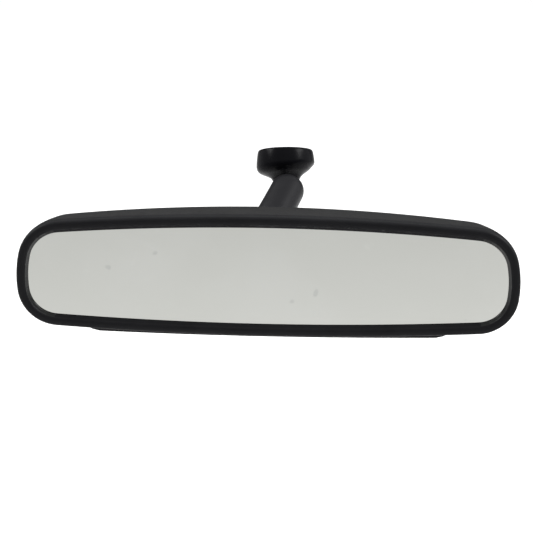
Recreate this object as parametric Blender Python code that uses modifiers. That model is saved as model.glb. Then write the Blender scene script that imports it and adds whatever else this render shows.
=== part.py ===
"""Interior rearview mirror: prismatic mirror head, double ball arm and bell-shaped windshield foot.

The frame's origin is the centre of the foot's mounting face. +Z is up, -Y is towards the driver and
+X is to the driver's right. Sizes are millimetres, and MM turns them into metres when a mesh is made.
"""
import math

import bmesh
import bpy
from mathutils import Matrix, Vector

MM = 0.001

# Layout of the three assemblies at rest. BALL_CLEARANCE keeps the lower socket behind the casing.
CASING_DEPTH = 27.0
BALL_CLEARANCE = 11.0
FACE_CENTRE = Vector((-5.4, -96.8, -37.4))
LOWER_BALL_IN_HEAD = Vector((-4.5, CASING_DEPTH + BALL_CLEARANCE, 8.0))
UPPER_BALL_IN_HEAD = LOWER_BALL_IN_HEAD + Vector((11.6, 36.3, 14.1))
WINDSHIELD_RAKE = 24.3
FOOT_SIDE_TILT = 2.2

# Head outline, seen from the front.
HEAD_HALF_WIDTH = 125.0
HEAD_HALF_HEIGHT = 31.2
TOP_CROWN_R = 1240.0
BOTTOM_CROWN_R = 1730.0
END_CROWN_R = 60.0
END_CROWN_Z = -2.6
TOP_CORNER_R = 22.0
BOTTOM_CORNER_R = 20.7

# Bezel, glass and film.
BEAD_WIDTH = 4.5
LIP_INSET = 5.9
LIP_BACK = 1.9
BEZEL_DEPTH = 6.0
BEZEL_WALL = 1.7
RIB_INSET = 2.9
RIB_DEPTH = 8.2
RIB_WALL = 1.4
RIB_FLOOR = 3.2
LIP_EDGE = 0.4
FIT_GAP = 0.3
POCKET_INSET = RIB_INSET + RIB_WALL + 0.05
FILM_INSET = RIB_INSET + RIB_WALL + 1.0
GLASS_TOP_THICKNESS = 5.6
GLASS_BOTTOM_THICKNESS = 2.4
FILM_THICKNESS = 1.0

# Rear casing.
CASING_WALL = 1.8
CASING_BOW = 6.7
BOW_START = 6.3
BOW_DEPTH = 20.0
CASING_FRONT = BEZEL_DEPTH + FIT_GAP
CHIN_DROP = 2.75
CHIN_END_DROP = 3.65
CHIN_HALF_WIDTH = 95.0
CHIN_FLAT_HALF_WIDTH = 86.0
NECK_OPENING_R = 6.5
NECK_OPENING_REACH = 10.0
BOSS_R = 3.6
BOSS_END = CASING_DEPTH - 1.5
BOSS_HOLE_END = CASING_DEPTH - 2.2
SLOT_HALF_WIDTH = 12.0
SLOT_FRONT = 11.5
SLOT_BACK = CASING_DEPTH - 1.4
SLOT_TOP = -HEAD_HALF_HEIGHT + 6.7
SLOT_BOTTOM = -HEAD_HALF_HEIGHT - 6.3

# Pivot frame, mount plate and lever, on the plane x = MECH_X of the head.
MECH_X = LOWER_BALL_IN_HEAD.x
PIVOT_Y = 16.0
FLIP_PIN_Z = 13.0
LEVER_PIN_Z = -14.0
FRAME_HALF_WIDTH = 31.0
FRAME_SIDE_WALL = 6.0
FRAME_TOP = 20.0
FRAME_BOTTOM = -21.0
FRAME_RAIL = 3.0
FRAME_FRONT = 13.0
FRAME_BACK = 19.0
LUG_HALF = 4.0
LUG_THICKNESS = 2.0
PIN_R = 1.2
PIN_GAP = 0.15
PIN_CHAMFER = 0.25
SCREW_X = 36.0
SCREW_Z = 15.0
SCREW_SHANK_R = 1.2
SCREW_HEAD_R = 2.4
SCREW_END = CASING_DEPTH - 20.0
PLATE_HALF_WIDTH = 21.0
PLATE_THICKNESS = 2.6
PLATE_BOTTOM = -7.0
BARREL_R = 3.2
BARREL_HALF = PLATE_HALF_WIDTH + 2.0
LEVER_LENGTH = HEAD_HALF_HEIGHT - 6.2
LEVER_LEAN = math.degrees(math.atan2(SLOT_BACK - PIVOT_Y - 1.55, HEAD_HALF_HEIGHT + LEVER_PIN_Z + 1.3))
LEVER_TAB_WIDTH = 18.0
LEVER_TAB_HALF_THICKNESS = 1.2
LEVER_BARREL_R = 2.4
LEVER_BARREL_HALF = 14.5
LEVER_GRIP_R = 1.9
NOSE_RADIUS = 3.4
NOSE_R = 1.6
NOSE_ANGLE = 15.0
NOSE_HALF = 5.0
FORK_GAP = 0.35
FORK_WALL = 1.6
BUMPER_X = 15.0
BUMPER_Z = -3.0
BUMPER_FRONT = 19.3
BUMPER_BACK = CASING_DEPTH - 2.3
LEAF_THICKNESS = 0.5

# Ball joints. The mouth and band angles are measured from the axis of the tube's mouth.
UPPER_BALL_R = 6.9
LOWER_BALL_R = 7.35
LINER_GAP = 0.2
LINER_THICKNESS = 0.45
TUBE_LIP_WALL = 1.05
UPPER_TUBE_R = UPPER_BALL_R + TUBE_LIP_WALL + 0.85
LOWER_TUBE_R = LOWER_BALL_R + TUBE_LIP_WALL + 0.9
MOUTH_ANGLE = 54.0
BAND_START = 60.0
BAND_END = 86.0
BORE_R = min(UPPER_BALL_R, LOWER_BALL_R)
CUP_R = BORE_R - 0.3
CUP_LENGTH = 5.2
CUP_HOLE_R = 2.6
CUP_RIM = 0.4
WASHER_R = CUP_R - 0.2
WASHER_HOLE_R = 2.9
WASHER_THICKNESS = 0.9
SPRING_R = CUP_R - 1.7
SPRING_WIRE_R = 0.8
SPRING_TURNS = 6
UPPER_NECK_R = 2.2
LOWER_NECK_R = 2.4
UPPER_STUD_LENGTH = 17.2
STUD_R = 3.0
STUD_TIP_R = 2.6
STUD_CHAMFER = 0.4
LOWER_STUD_TILT = 12.0
COLLAR_R = 5.2
PLATE_DISTANCE = 22.5 + LOWER_BALL_IN_HEAD.y - 38.0
PLATE_BOSS_START = PLATE_DISTANCE - 3.9
PLATE_BOSS_END = PLATE_DISTANCE + 2.0
NUT_R = 5.0
NUT_START = PLATE_BOSS_END + FIT_GAP
NUT_END = NUT_START + 2.2
THREAD_GAP = 0.15

# Foot.
FOOT_R = 14.6
SOCKET_R = FOOT_R - 3.3
SOCKET_DEPTH = 6.8
STUD_AXIS_DEPTH = 11.5
SHOULDER_SKEW = 1.6
CLIP_R = SOCKET_R - 2.7
CLIP_THICKNESS = 0.6
CLIP_EAR_HEIGHT = 4.6
CLIP_EAR_HALF_WIDTH = 3.5
CLIP_SCREW_R = 1.2
CLIP_SCREW_HEAD_R = 2.8

ROUND_STEPS = 32
END_STEPS = 4

PARTS = bpy.data.collections.new("rearview_mirror")
CUTTERS = bpy.data.collections.new("cutters")


def start_scene():
    for obj in list(bpy.data.objects):
        bpy.data.objects.remove(obj, do_unlink=True)
    for collection in (PARTS, CUTTERS):
        bpy.context.scene.collection.children.link(collection)
    CUTTERS.hide_render = True


def material(name, colour, roughness, metallic=0.0):
    mat = bpy.data.materials.new(name)
    mat.use_nodes = True
    shader = mat.node_tree.nodes["Principled BSDF"]
    shader.inputs["Base Color"].default_value = (*colour, 1.0)
    shader.inputs["Roughness"].default_value = roughness
    shader.inputs["Metallic"].default_value = metallic
    mat.diffuse_color = (*colour, 1.0)
    return mat


def place(name, mesh, mat, frame=Matrix.Identity(4), smooth=False):
    """A node from a mesh and a frame, both in millimetres. No material makes it a cutter."""
    mesh.transform(Matrix.Scale(MM, 4))
    obj = bpy.data.objects.new(name, mesh)
    rotation = frame.to_3x3().to_4x4()
    obj.matrix_world = Matrix.Translation(frame.translation * MM) @ rotation
    if mat is None:
        CUTTERS.objects.link(obj)
        obj.hide_render = True
        obj.display_type = "WIRE"
    else:
        PARTS.objects.link(obj)
        mesh.materials.append(mat)
    for polygon in mesh.polygons:
        polygon.use_smooth = smooth
    return obj


def mesh_of(name, points, faces):
    mesh = bpy.data.meshes.new(name)
    mesh.from_pydata([tuple(p) for p in points], [], faces)
    made = bmesh.new()
    made.from_mesh(mesh)
    bmesh.ops.recalc_face_normals(made, faces=made.faces)
    made.to_mesh(mesh)
    made.free()
    return mesh


def strip_cap(count, base):
    """Faces that close a head section with strips from its top edge to its bottom edge."""
    half = count // 2
    faces = [tuple(range(END_STEPS + 1)), tuple(range(half, half + END_STEPS + 1))]
    for k in range(half - END_STEPS):
        top, low = END_STEPS + k, (count - k) % count
        faces.append((top, top + 1, count - k - 1, low))
    return [tuple(base + i for i in face) for face in faces]


def loft(name, rings, mat, frame=Matrix.Identity(4), smooth=False, ring_closed=False, strips=False):
    """Joins sections of equal point counts. The end ones are capped, or joined when ring_closed."""
    count = len(rings[0])
    points = [p for ring in rings for p in ring]
    faces = []
    last = len(rings) if ring_closed else len(rings) - 1
    for k in range(last):
        a = k * count
        b = ((k + 1) % len(rings)) * count
        for i in range(count):
            j = (i + 1) % count
            faces.append((a + i, a + j, b + j, b + i))
    if not ring_closed:
        faces.append(tuple(range(count))[::-1])
        base = (len(rings) - 1) * count
        faces += strip_cap(count, base) if strips else [tuple(range(base, base + count))]
    return place(name, mesh_of(name, points, faces), mat, frame, smooth)


def box(name, low, high, mat, frame=Matrix.Identity(4), bevel=0.0):
    low, high = Vector(low), Vector(high)
    made = bmesh.new()
    bmesh.ops.create_cube(made, size=1.0)
    bmesh.ops.scale(made, vec=high - low, verts=made.verts)
    bmesh.ops.translate(made, vec=(low + high) / 2, verts=made.verts)
    mesh = bpy.data.meshes.new(name)
    made.to_mesh(mesh)
    made.free()
    obj = place(name, mesh, mat, frame)
    if bevel:
        edge = obj.modifiers.new("edge", "BEVEL")
        edge.width = bevel * MM
        edge.segments = 2
    return obj


def rod(name, radius, z0, z1, mat, frame=Matrix.Identity(4), sides=24):
    made = bmesh.new()
    middle = Matrix.Translation((0, 0, (z0 + z1) / 2))
    bmesh.ops.create_cone(
        made, cap_ends=True, segments=sides, radius1=radius, radius2=radius, depth=z1 - z0, matrix=middle
    )
    mesh = bpy.data.meshes.new(name)
    made.to_mesh(mesh)
    made.free()
    return place(name, mesh, mat, frame, smooth=sides > 8)


def turned(name, profile, mat, frame=Matrix.Identity(4), closed=False, steps=ROUND_STEPS):
    """Turns (radius, height) points about the frame's Z axis. Open ones start and end on the axis."""
    following = profile[1:] + profile[:1]
    area = sum(r0 * z1 - r1 * z0 for (r0, z0), (r1, z1) in zip(profile, following))
    if area > 0:
        profile = profile[::-1]
    mesh = bpy.data.meshes.new(name)
    count = len(profile)
    edges = [(i, i + 1) for i in range(count - 1)]
    if closed:
        edges.append((count - 1, 0))
    mesh.from_pydata([(r, 0.0, z) for r, z in profile], edges, [])
    obj = place(name, mesh, mat, frame)
    screw = obj.modifiers.new("turn", "SCREW")
    screw.steps = steps
    screw.render_steps = steps
    screw.use_merge_vertices = True
    screw.merge_threshold = 0.000001
    screw.use_smooth_shade = True
    return obj


def slab_x(name, outline, x0, x1, mat, frame=Matrix.Identity(4)):
    """Extrudes a (y, z) outline along X."""
    rings = [[Vector((x, y, z)) for y, z in outline] for x in (x0, x1)]
    return loft(name, rings, mat, frame)


def boolean(target, other, operation):
    modifier = target.modifiers.new(other.name, "BOOLEAN")
    modifier.solver = "EXACT"
    modifier.operation = operation
    modifier.object = other


def cut(target, *others):
    for other in others:
        boolean(target, other, "DIFFERENCE")


def join(target, *others):
    for other in others:
        boolean(target, other, "UNION")


def frame_along(origin, direction, hint=(1, 0, 0)):
    """A frame whose Z axis runs along direction and whose X axis is as near hint as it can be."""
    z = Vector(direction).normalized()
    y = z.cross(Vector(hint)).normalized()
    x = y.cross(z)
    frame = Matrix((x, y, z)).transposed().to_4x4()
    frame.translation = origin
    return frame


def arc(radius, centre, start, end, count, ends=(True, True)):
    """Points (r, z) of an arc about (0, centre), with angles in degrees from +Z."""
    angles = [start + (end - start) * i / (count - 1) for i in range(count)]
    kept = angles[0 if ends[0] else 1 : count if ends[1] else count - 1]
    turns = [math.radians(a) for a in kept]
    return [(radius * math.sin(t), centre + radius * math.cos(t)) for t in turns]


# ---- Head outline ----


def corner_centre(crown_r, end_r, corner_r, end_z):
    """Centre of the corner circle that touches the crown arc and the end arc from inside, for z above 0."""
    crown_z = HEAD_HALF_HEIGHT - crown_r
    end_x = HEAD_HALF_WIDTH - end_r
    r1 = crown_r - corner_r
    r2 = end_r - corner_r
    gap = Vector((end_x, end_z - crown_z))
    d = gap.length
    along = (r1 * r1 - r2 * r2 + d * d) / (2 * d)
    off = math.sqrt(r1 * r1 - along * along)
    unit = gap / d
    normal = Vector((unit.y, -unit.x))
    return Vector((0, crown_z)) + unit * along + normal * off


def head_arcs():
    """(centre x, centre z, radius, normal x, normal z) samples, anticlockwise from the right end."""
    top = corner_centre(TOP_CROWN_R, END_CROWN_R, TOP_CORNER_R, END_CROWN_Z)
    low = corner_centre(BOTTOM_CROWN_R, END_CROWN_R, BOTTOM_CORNER_R, -END_CROWN_Z)
    end_x = HEAD_HALF_WIDTH - END_CROWN_R
    top_end = math.degrees(math.atan2(top.y - END_CROWN_Z, top.x - end_x))
    low_end = math.degrees(math.atan2(low.y + END_CROWN_Z, low.x - end_x))
    top_z = HEAD_HALF_HEIGHT - TOP_CROWN_R
    low_z = HEAD_HALF_HEIGHT - BOTTOM_CROWN_R
    top_crown = math.degrees(math.atan2(top.y - top_z, top.x))
    low_crown = math.degrees(math.atan2(low.y - low_z, low.x))
    samples = []

    def add(cx, cz, radius, angles):
        for a in angles:
            n = (math.cos(math.radians(a)), math.sin(math.radians(a)))
            samples.append((cx, cz, radius, n[0], n[1]))

    def spread(a, b, count):
        return [a + (b - a) * i / count for i in range(count)]

    add(end_x, END_CROWN_Z, END_CROWN_R, spread(-low_end, top_end, END_STEPS))
    add(top.x, top.y, TOP_CORNER_R, spread(top_end, top_crown, 6))
    add(0, top_z, TOP_CROWN_R, spread(top_crown, 180 - top_crown, 12))
    add(-top.x, top.y, TOP_CORNER_R, spread(180 - top_crown, 180 - top_end, 6))
    add(-end_x, END_CROWN_Z, END_CROWN_R, spread(180 - top_end, 180 + low_end, END_STEPS))
    add(-low.x, -low.y, BOTTOM_CORNER_R, spread(180 + low_end, 180 + low_crown, 6))
    start = -low.x * BOTTOM_CROWN_R / (BOTTOM_CROWN_R - BOTTOM_CORNER_R)
    step = CHIN_FLAT_HALF_WIDTH / 4
    xs = [start, -CHIN_HALF_WIDTH] + [step * i for i in range(-4, 5)] + [CHIN_HALF_WIDTH]
    add(0, -low_z, BOTTOM_CROWN_R, [-90 + math.degrees(math.asin(x / BOTTOM_CROWN_R)) for x in xs])
    add(low.x, -low.y, BOTTOM_CORNER_R, spread(-low_crown, -low_end, 6))
    return samples


ARCS = head_arcs()


def head_section(inset, depth, end_inset=0.0, chin=0.0, bow=0.0):
    """The head's outline at a depth behind the front, moved in by inset, and by end_inset more at the ends.

    With bow, the section curves forward towards the head's ends, by that much at the widest point.
    """
    squeeze = (HEAD_HALF_WIDTH - end_inset) / HEAD_HALF_WIDTH
    points = []
    for cx, cz, radius, nx, nz in ARCS:
        x = cx + (radius - inset) * nx
        z = cz + (radius - inset) * nz
        if nz < 0:
            z -= chin * chin_drop(cx + radius * nx)
        forward = bow * ((cx + radius * nx) / HEAD_HALF_WIDTH) ** 2
        points.append(Vector((x * squeeze, depth - forward, z)))
    return points


def chin_drop(x):
    """How far the casing's ledge hangs below the head's outline."""
    x = abs(x)
    if x <= CHIN_FLAT_HALF_WIDTH:
        return CHIN_DROP + (CHIN_END_DROP - CHIN_DROP) * (x / CHIN_FLAT_HALF_WIDTH) ** 2
    ramp = (CHIN_HALF_WIDTH - x) / (CHIN_HALF_WIDTH - CHIN_FLAT_HALF_WIDTH)
    return max(0.0, CHIN_END_DROP * ramp)


# ---- Head pieces, in the head's frame ----

HEAD = Matrix.Translation(FACE_CENTRE)


def glass_back(z, extra=0.0):
    """Depth of the glass's back face at a height: the prism is thicker at the top."""
    share = (z + HEAD_HALF_HEIGHT) / (2 * HEAD_HALF_HEIGHT)
    thickness = GLASS_BOTTOM_THICKNESS + (GLASS_TOP_THICKNESS - GLASS_BOTTOM_THICKNESS) * share
    return LIP_BACK + FIT_GAP + thickness + extra


def make_bezel(mat):
    """Bead ring with a sloping inner wall, a lip over the glass, an outer skirt and a rib behind it."""
    section = [
        (0.35, BEZEL_DEPTH),
        (0.1, 4.6),
        (0.0, 3.0),
        (0.25, 1.6),
        (0.9, 0.6),
        (1.8, 0.12),
        (2.7, 0.0),
        (3.6, 0.2),
        (BEAD_WIDTH, 0.7),
        (LIP_INSET, LIP_BACK - LIP_EDGE),
        (LIP_INSET, LIP_BACK),
        (POCKET_INSET, LIP_BACK),
        (POCKET_INSET, RIB_DEPTH),
        (RIB_INSET, RIB_DEPTH),
        (RIB_INSET, RIB_FLOOR),
        (BEZEL_WALL, RIB_FLOOR),
        (BEZEL_WALL, BEZEL_DEPTH),
    ]
    rings = [head_section(inset, depth) for inset, depth in section]
    return loft("bezel", rings, mat, HEAD, smooth=True, ring_closed=True)


def make_glass(mat):
    front = head_section(POCKET_INSET + FIT_GAP, LIP_BACK + FIT_GAP)
    back = [Vector((p.x, glass_back(p.z), p.z)) for p in front]
    return loft("mirror_glass", [front, back], mat, HEAD)


def make_film(mat):
    outline = head_section(FILM_INSET, 0.0)
    front = [Vector((p.x, glass_back(p.z, FIT_GAP), p.z)) for p in outline]
    back = [Vector((p.x, glass_back(p.z, FIT_GAP + FILM_THICKNESS), p.z)) for p in outline]
    return loft("backing_film", [front, back], mat, HEAD)


def casing_bow(depth):
    """How far the casing's section at a depth curves forward at the ends."""
    return CASING_BOW * min(1.0, (depth - BOW_START) / BOW_DEPTH)


def casing_table():
    """(depth, inset, inset more at the ends, share of the chin) of each section, from front to back."""
    rows = [
        (0.0, 0.6, 0.0, 1.0),
        (0.15, 0.6, 0.3, 1.0),
        (0.324, 0.6, 1.8, 1.0),
        (0.517, 0.8, 3.4, 1.0),
        (0.686, 1.1, 5.0, 0.7),
        (0.831, 1.9, 7.2, 0.3),
        (0.932, 4.2, 9.5, 0.0),
        (0.9855, 8.0, 11.0, 0.0),
        (1.0, 13.0, 12.0, 0.0),
    ]
    length = CASING_DEPTH - CASING_FRONT
    return [(CASING_FRONT + share * length, *row) for share, *row in rows]


def casing_sections(wall=0.0):
    """Sections of the casing's outside, or of its hollow when wall is the wall's thickness."""
    table = casing_table()
    if not wall:
        return [head_section(inset, y, ends, chin, casing_bow(y)) for y, inset, ends, chin in table]
    start = head_section(table[0][1] + wall, CASING_FRONT - 1.5, 0.0, 1.0)
    body = [head_section(inset + wall, y, ends, chin, casing_bow(y)) for y, inset, ends, chin in table[1:6]]
    floor = head_section(table[6][1] + wall, CASING_DEPTH - wall, table[6][2], 0.0, CASING_BOW)
    return [start] + body + [floor]


def make_casing(mat):
    casing = loft("rear_casing", casing_sections(), mat, HEAD, smooth=True, strips=True)
    cut(casing, loft("casing_hollow", casing_sections(CASING_WALL), None, HEAD, strips=True))
    for side in (-1, 1):
        for level in (-1, 1):
            at = HEAD @ frame_along((MECH_X + side * SCREW_X, 0, level * SCREW_Z), (0, 1, 0))
            tag = f"{'l' if side < 0 else 'r'}{'d' if level < 0 else 'u'}"
            join(casing, rod(f"boss_{tag}", BOSS_R, FRAME_BACK + FIT_GAP, BOSS_END, None, at, 20))
            hole_r = SCREW_SHANK_R + THREAD_GAP
            cut(casing, rod(f"boss_hole_{tag}", hole_r, FRAME_BACK - 1, BOSS_HOLE_END, None, at, 16))
    neck = HEAD @ frame_along((MECH_X, 0, stud_point(NECK_OPENING_REACH).z), (0, 1, 0))
    cut(casing, rod("neck_opening", NECK_OPENING_R, CASING_DEPTH - 7, CASING_DEPTH + 3, None, neck, 32))
    low = (MECH_X - SLOT_HALF_WIDTH, SLOT_FRONT, SLOT_BOTTOM)
    high = (MECH_X + SLOT_HALF_WIDTH, SLOT_BACK, SLOT_TOP)
    cut(casing, box("lever_slot", low, high, None, HEAD))
    return casing


def stud_point(distance):
    """A point on the lower stud's axis, measured from the ball's centre into the head."""
    lean = math.radians(LOWER_STUD_TILT)
    return LOWER_BALL_IN_HEAD + Vector((0, -math.cos(lean), -math.sin(lean))) * distance


def make_pivot_frame(mat):
    """Rectangular ring that carries both pins, with four screw lugs."""
    left, right = MECH_X - FRAME_HALF_WIDTH, MECH_X + FRAME_HALF_WIDTH
    low, high = (left, FRAME_FRONT, FRAME_BOTTOM), (right, FRAME_BACK, FRAME_TOP)
    frame = box("pivot_frame", low, high, mat, HEAD, 0.8)
    side, rail = FRAME_SIDE_WALL, FRAME_RAIL
    low = (left + side, FRAME_FRONT - 1, FRAME_BOTTOM + rail)
    high = (right - side, FRAME_BACK + 1, FRAME_TOP - rail)
    cut(frame, box("frame_window", low, high, None, HEAD))
    notch = LEVER_TAB_WIDTH / 2 + 2
    low = (MECH_X - notch, FRAME_FRONT - 1, FRAME_BOTTOM - 1)
    high = (MECH_X + notch, FRAME_BACK + 1, FRAME_BOTTOM + rail + 1)
    cut(frame, box("frame_notch", low, high, None, HEAD))
    for tag, sx in (("l", -1), ("r", 1)):
        for row, sz in (("d", -1), ("u", 1)):
            x, z = MECH_X + sx * SCREW_X, sz * SCREW_Z
            inner = MECH_X + sx * (FRAME_HALF_WIDTH - 2)
            outer = x + sx * LUG_HALF
            low = (min(outer, inner), FRAME_BACK - LUG_THICKNESS, z - LUG_HALF)
            high = (max(outer, inner), FRAME_BACK - 0.02, z + LUG_HALF)
            join(frame, box(f"lug_{tag}{row}", low, high, None, HEAD))
            at = HEAD @ frame_along((x, 0, z), (0, 1, 0))
            hole_r = SCREW_SHANK_R + THREAD_GAP + 0.1
            cut(frame, rod(f"lug_hole_{tag}{row}", hole_r, FRAME_FRONT, FRAME_BACK + 2, None, at, 16))
    for tag, z in (("flip", FLIP_PIN_Z), ("lever", LEVER_PIN_Z)):
        at = HEAD @ frame_along((MECH_X, PIVOT_Y, z), (1, 0, 0), (0, 1, 0))
        reach = FRAME_HALF_WIDTH + 2
        cut(frame, rod(f"{tag}_pin_hole", PIN_R + PIN_GAP, -reach, reach, None, at, 20))
    return frame


def make_pin(name, z, mat):
    at = HEAD @ frame_along((MECH_X, PIVOT_Y, z), (1, 0, 0), (0, 1, 0))
    half = FRAME_HALF_WIDTH - 0.6
    tip = PIN_R - PIN_CHAMFER
    profile = [(0, -half), (tip, -half), (PIN_R, -half + PIN_CHAMFER)]
    profile += [(PIN_R, half - PIN_CHAMFER), (tip, half), (0, half)]
    return turned(name, profile, mat, at, steps=20)


def make_frame_screws(mat):
    made = []
    number = 1
    for sx in (-1, 1):
        for sz in (-1, 1):
            x, z = MECH_X + sx * SCREW_X, sz * SCREW_Z
            at = HEAD @ frame_along((x, FRAME_BACK - LUG_THICKNESS - FIT_GAP, z), (0, 1, 0))
            head, shank = SCREW_HEAD_R, SCREW_SHANK_R
            profile = [(0, -1.8), (head - 0.5, -1.8), (head, -1.2), (head, 0), (shank, 0)]
            profile += [(shank, SCREW_END - 0.8), (shank - 0.5, SCREW_END), (0, SCREW_END)]
            screw = turned(f"frame_screw_{number}", profile, mat, at, steps=12)
            for tag, size in (("a", (1.7, 0.3)), ("b", (0.3, 1.7))):
                low = (-size[0], -size[1], -3.0)
                high = (size[0], size[1], -1.0)
                cut(screw, box(f"recess_{number}{tag}", low, high, None, at))
            made.append(screw)
            number += 1
    return made


def make_mount_plate(mat):
    """Plate that rocks on the flip pin: a barrel, a boss for the stud and a fork for the lever's nose."""
    x0, x1 = MECH_X - PLATE_HALF_WIDTH, MECH_X + PLATE_HALF_WIDTH
    front = PIVOT_Y - 1.0
    low, high = (x0, front, PLATE_BOTTOM), (x1, front + PLATE_THICKNESS, FLIP_PIN_Z)
    plate = box("mount_plate", low, high, mat, HEAD, 0.4)
    at = HEAD @ frame_along((MECH_X, PIVOT_Y, FLIP_PIN_Z), (1, 0, 0), (0, 1, 0))
    join(plate, rod("plate_barrel", BARREL_R, -BARREL_HALF, BARREL_HALF, None, at, 24))
    cut(plate, rod("plate_pin_hole", PIN_R + PIN_GAP, -BARREL_HALF - 1, BARREL_HALF + 1, None, at, 20))
    axis = HEAD @ stud_frame()
    join(plate, rod("plate_boss", COLLAR_R, PLATE_BOSS_START, PLATE_BOSS_END, None, axis, 28))
    nose_y, half_gap = nose_centre().y, NOSE_R + FORK_GAP
    outer = half_gap + FORK_WALL
    low = (MECH_X - 4, nose_y - outer, LEVER_PIN_Z + LEVER_BARREL_R + FIT_GAP)
    fork = box("fork", low, (MECH_X + 4, nose_y + outer, PLATE_BOTTOM + 2.5), None, HEAD)
    low = (MECH_X - 6, nose_y - half_gap, LEVER_PIN_Z)
    gap = box("fork_gap", low, (MECH_X + 6, nose_y + half_gap, PLATE_BOTTOM - 0.4), None, HEAD)
    join(plate, fork)
    cut(plate, gap)
    hole_r = STUD_R + THREAD_GAP
    cut(plate, rod("stud_hole", hole_r, PLATE_BOSS_START - 4, NUT_END + 1, None, axis, 24))
    return plate


def nose_centre():
    """Where the lever's nose sits in the head, above the lever's pin."""
    angle = math.radians(NOSE_ANGLE)
    up = Vector((0, -math.sin(angle), math.cos(angle)))
    return Vector((MECH_X, PIVOT_Y, LEVER_PIN_Z)) + up * NOSE_RADIUS


def stud_frame():
    """Z runs from the lower ball's centre into the head."""
    return frame_along(LOWER_BALL_IN_HEAD, stud_point(1.0) - LOWER_BALL_IN_HEAD)


def make_lower_stud(mat):
    ball, neck = LOWER_BALL_R, LOWER_NECK_R
    start = math.degrees(math.asin(neck / ball))
    end, shoulder = NUT_END + 0.6, PLATE_BOSS_START - FIT_GAP
    profile = [(0, end), (STUD_TIP_R, end), (STUD_R, end - STUD_CHAMFER), (STUD_R, shoulder)]
    profile += [(COLLAR_R, shoulder), (COLLAR_R, shoulder - 2.1), (COLLAR_R - 0.6, shoulder - 2.7)]
    profile += [(neck + 1.0, shoulder - 5.1), (neck, shoulder - 7.1)] + arc(ball, 0, start, 180, 10)
    profile[-1] = (0, -ball)
    return turned("lower_ball_stud", profile, mat, HEAD @ stud_frame(), steps=28)


def make_stud_nut(mat):
    axis = HEAD @ stud_frame()
    nut = rod("stud_nut", NUT_R, NUT_START, NUT_END, mat, axis, 6)
    cut(nut, rod("nut_hole", STUD_R + THREAD_GAP, NUT_START - 1, NUT_END + 1, None, axis, 24))
    return nut


def make_lever(mat):
    """Barrel on its pin, a nose that works the mount plate's fork and a tab through the casing's slot."""
    at = HEAD @ frame_along((MECH_X, PIVOT_Y, LEVER_PIN_Z), (1, 0, 0), (0, 1, 0))
    lever = rod("day_night_lever", LEVER_BARREL_R, -LEVER_BARREL_HALF, LEVER_BARREL_HALF, mat, at, 24)
    lean = math.radians(LEVER_LEAN)
    down = HEAD @ frame_along((MECH_X, PIVOT_Y, LEVER_PIN_Z), (0, math.sin(lean), -math.cos(lean)))
    half, thick = LEVER_TAB_WIDTH / 2, LEVER_TAB_HALF_THICKNESS
    tab = box("lever_tab", (-half, -thick, PIN_R + 0.1), (half, thick, LEVER_LENGTH), None, down, 0.7)
    edge = down @ frame_along((0, 0, LEVER_LENGTH - 1.4), (1, 0, 0), (0, 1, 0))
    grip = rod("lever_grip", LEVER_GRIP_R, -half + 0.5, half - 0.5, None, edge, 16)
    nose_at = HEAD @ frame_along(nose_centre(), (1, 0, 0), (0, 1, 0))
    join(lever, tab, grip, rod("lever_nose", NOSE_R, -NOSE_HALF, NOSE_HALF, None, nose_at, 20))
    bore_half = LEVER_BARREL_HALF + 1.5
    cut(lever, rod("lever_pin_bore", PIN_R + PIN_GAP, -bore_half, bore_half, None, at, 20))
    return lever


def make_toggle_spring(mat):
    """Bent leaf on the frame's lower rail that bears on the lever's barrel."""
    y, t = FRAME_FRONT - FIT_GAP, LEAF_THICKNESS
    outline = [
        (y, FRAME_BOTTOM + 0.4),
        (y, FRAME_BOTTOM + 2.6),
        (y + 0.7, LEVER_PIN_Z - 2.0),
        (y + 0.25, LEVER_PIN_Z + 1.6),
        (y + 0.25 - t, LEVER_PIN_Z + 1.6),
        (y + 0.7 - t, LEVER_PIN_Z - 2.0),
        (y - t, FRAME_BOTTOM + 2.6),
        (y - t, FRAME_BOTTOM + 0.4),
    ]
    start = MECH_X + LEVER_BARREL_HALF - 2.5
    return slab_x("toggle_spring", outline, start, start + 6.0, mat, HEAD)


def make_bumpers(mat):
    made = []
    for tag, side in (("left", -1), ("right", 1)):
        at = HEAD @ frame_along((MECH_X + side * BUMPER_X, 0, BUMPER_Z), (0, 1, 0))
        front, back = BUMPER_FRONT, BUMPER_BACK
        profile = [(0, front), (2.4, front), (3.0, front + 0.7), (3.2, back), (0, back)]
        made.append(turned(f"bumper_{tag}", profile, mat, at, steps=16))
    return made


# ---- Arm pieces. Z runs from the upper ball's centre to the lower one's ----

UPPER_BALL = FACE_CENTRE + UPPER_BALL_IN_HEAD
LOWER_BALL = FACE_CENTRE + LOWER_BALL_IN_HEAD
ARM_LENGTH = (LOWER_BALL - UPPER_BALL).length


def arm_frame():
    return frame_along(UPPER_BALL, LOWER_BALL - UPPER_BALL)


def arm_frame_from_lower():
    return frame_along(LOWER_BALL, UPPER_BALL - LOWER_BALL)


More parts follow.
